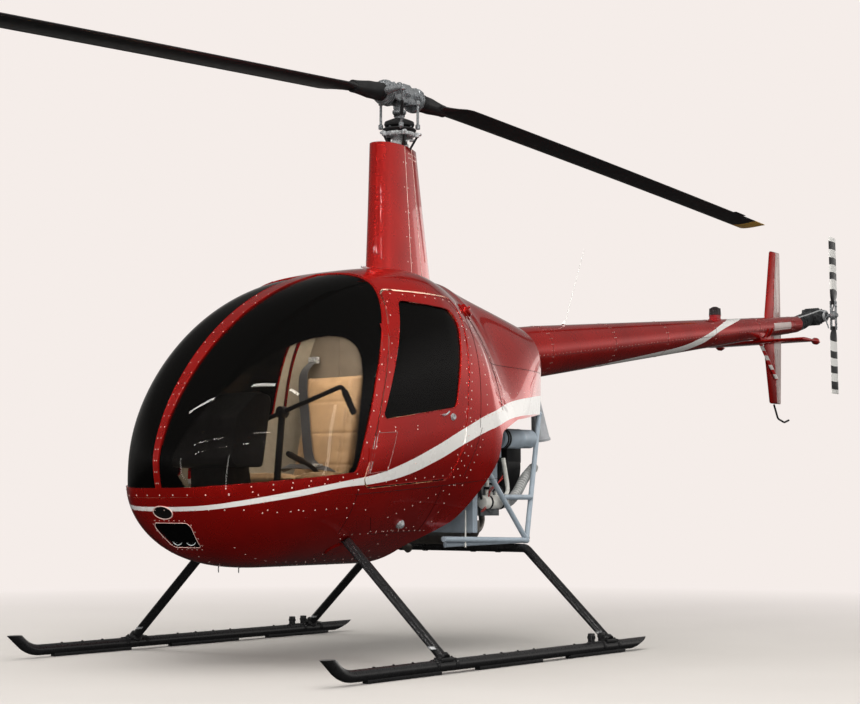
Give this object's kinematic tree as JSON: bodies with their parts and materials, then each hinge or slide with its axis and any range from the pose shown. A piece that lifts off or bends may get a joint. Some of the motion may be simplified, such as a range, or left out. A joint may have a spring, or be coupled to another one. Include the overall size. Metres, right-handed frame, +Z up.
{
  "type": "light two-seat helicopter on skids",
  "caption": "Light piston helicopter with a bubble cabin, tail boom, skids, a coupled main rotor and tail rotor, and hinged cabin doors.",
  "frame": {"origin": "on the ground at the middle of the whole aircraft's length and width", "axes": "+Z up, nose to -Y, +X to the aircraft's left (port) side"},
  "size_m": [1.8924, 8.2877, 2.72],
  "materials": {
    "red_paint": "deep glossy red paint with white stripes",
    "tinted_glass": "grey-tinted clear plastic",
    "black_paint": "semi-gloss black paint",
    "rotor_black": "satin black paint with a yellow tip or white bands",
    "frame_steel": "pale blue-grey paint on steel tube",
    "silver_metal": "machined and bare metal",
    "engine_grey": "dull cast grey",
    "cream_duct": "off-white moulded duct and pipe",
    "belt_rubber": "black rubber belts",
    "tan_leather": "tan leather",
    "black_plastic": "dull black plastic",
    "lamp_glass": "clear lamp glass over a bright reflector",
    "beacon_red": "red lamp housing"
  },
  "bodies": {
    "root": {"cabin_tub": "red_paint", "cabin_frame": "red_paint", "rear_cowling": "red_paint", "windshield_left": "tinted_glass", "windshield_right": "tinted_glass", "firewall": "black_plastic", "cabin_floor": "black_plastic", "seat_base": "tan_leather", "seat_cushion_left": "tan_leather", "seat_cushion_right": "tan_leather", "seat_back_left": "tan_leather", "seat_back_right": "tan_leather", "instrument_console": "black_plastic", "cyclic_stick": "black_plastic", "collective_left": "black_plastic", "collective_right": "black_plastic", "pedals_left": "black_plastic", "pedals_right": "black_plastic", "mast_fairing": "red_paint", "swashplate_fixed": "silver_metal", "tail_boom": "red_paint", "tail_gearbox": "engine_grey", "stabiliser": "red_paint", "fin_upper": "red_paint", "fin_lower": "red_paint", "tail_guard": "black_paint", "beacon": "beacon_red", "skid_left": "black_paint", "skid_right": "black_paint", "leg_front_left": "black_paint", "leg_front_right": "black_paint", "leg_rear_left": "black_paint", "leg_rear_right": "black_paint", "cross_tube_rear": "black_paint", "engine_frame_left": "frame_steel", "engine_frame_right": "frame_steel", "engine": "engine_grey", "fan_scroll": "black_plastic", "oil_cooler_drum": "engine_grey", "exhaust": "silver_metal", "main_gearbox": "engine_grey", "drive_belts": "belt_rubber", "bay_bulkhead": "frame_steel", "intake_pipes": "cream_duct", "rear_duct": "engine_grey", "landing_lights": "lamp_glass", "lamp_lens": "lamp_glass"},
    "main_rotor": {"rotor_hub": "silver_metal", "rotor_blade_a": "rotor_black", "rotor_blade_b": "rotor_black", "pitch_link_a": "silver_metal", "pitch_link_b": "silver_metal"},
    "tail_rotor": {"tail_rotor_blades": "rotor_black"},
    "left_door": {"door_left": "red_paint", "door_window_left": "tinted_glass"},
    "right_door": {"door_right": "red_paint", "door_window_right": "tinted_glass"}
  },
  "joints": [
    {"name": "main_rotor_spin", "type": "hinge", "parent": "root", "child": "main_rotor", "pos_m": [0, -0.3066, 2.654], "axis": [0, 0, 1], "continuous": true},
    {"name": "tail_rotor_spin", "type": "hinge", "parent": "root", "child": "tail_rotor", "pos_m": [0.17, 4.0854, 1.952], "axis": [1, 0, 0], "continuous": true},
    {"name": "left_door_hinge", "type": "hinge", "parent": "root", "child": "left_door", "pos_m": [0.58, -1.0966, 1.1], "axis": [0, -0.2615, -0.9652], "range_deg": [0, 75]},
    {"name": "right_door_hinge", "type": "hinge", "parent": "root", "child": "right_door", "pos_m": [-0.58, -1.0966, 1.1], "axis": [0, 0.2615, 0.9652], "range_deg": [0, 75]}
  ],
  "couplings": [
    {"joint": "tail_rotor_spin", "follows": "main_rotor_spin", "ratio": -6.41}
  ]
}
